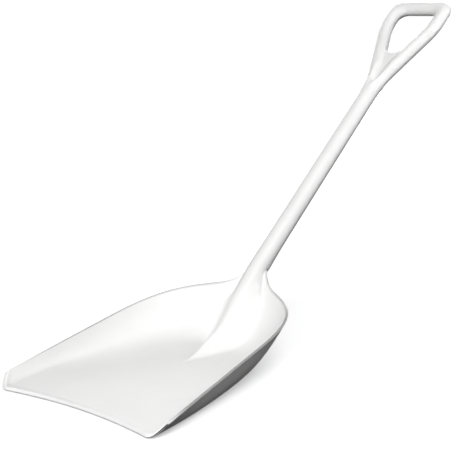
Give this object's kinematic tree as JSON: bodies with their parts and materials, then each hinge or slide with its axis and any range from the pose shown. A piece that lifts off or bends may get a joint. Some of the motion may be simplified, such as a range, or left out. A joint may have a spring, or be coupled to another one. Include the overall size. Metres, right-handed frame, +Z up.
{
  "type": "grain scoop shovel",
  "caption": "Wide plastic grain scoop with flared side walls, a central ridge running into a straight round shaft, and a D-shaped hand grip.",
  "frame": {"origin": "centre of the blade's flat underside, on the plane it rests on, 150 mm behind the middle of the front corners", "axes": "+Z up, square to the blade's flat underside; +Y from the blade's front edge toward the grip; +X across the blade"},
  "size_m": [0.347, 1.0549, 0.5716],
  "materials": {
    "white_plastic": "satin moulded polypropylene",
    "grey_plastic": "plain moulded plastic, hidden",
    "foam": "rigid foam, hidden"
  },
  "bodies": {
    "root": {"blade": "white_plastic", "shaft": "white_plastic", "grip": "white_plastic", "neck_spigot": "grey_plastic", "grip_spigot": "grey_plastic", "shaft_core": "foam", "joint_pins": "white_plastic"}
  },
  "joints": []
}
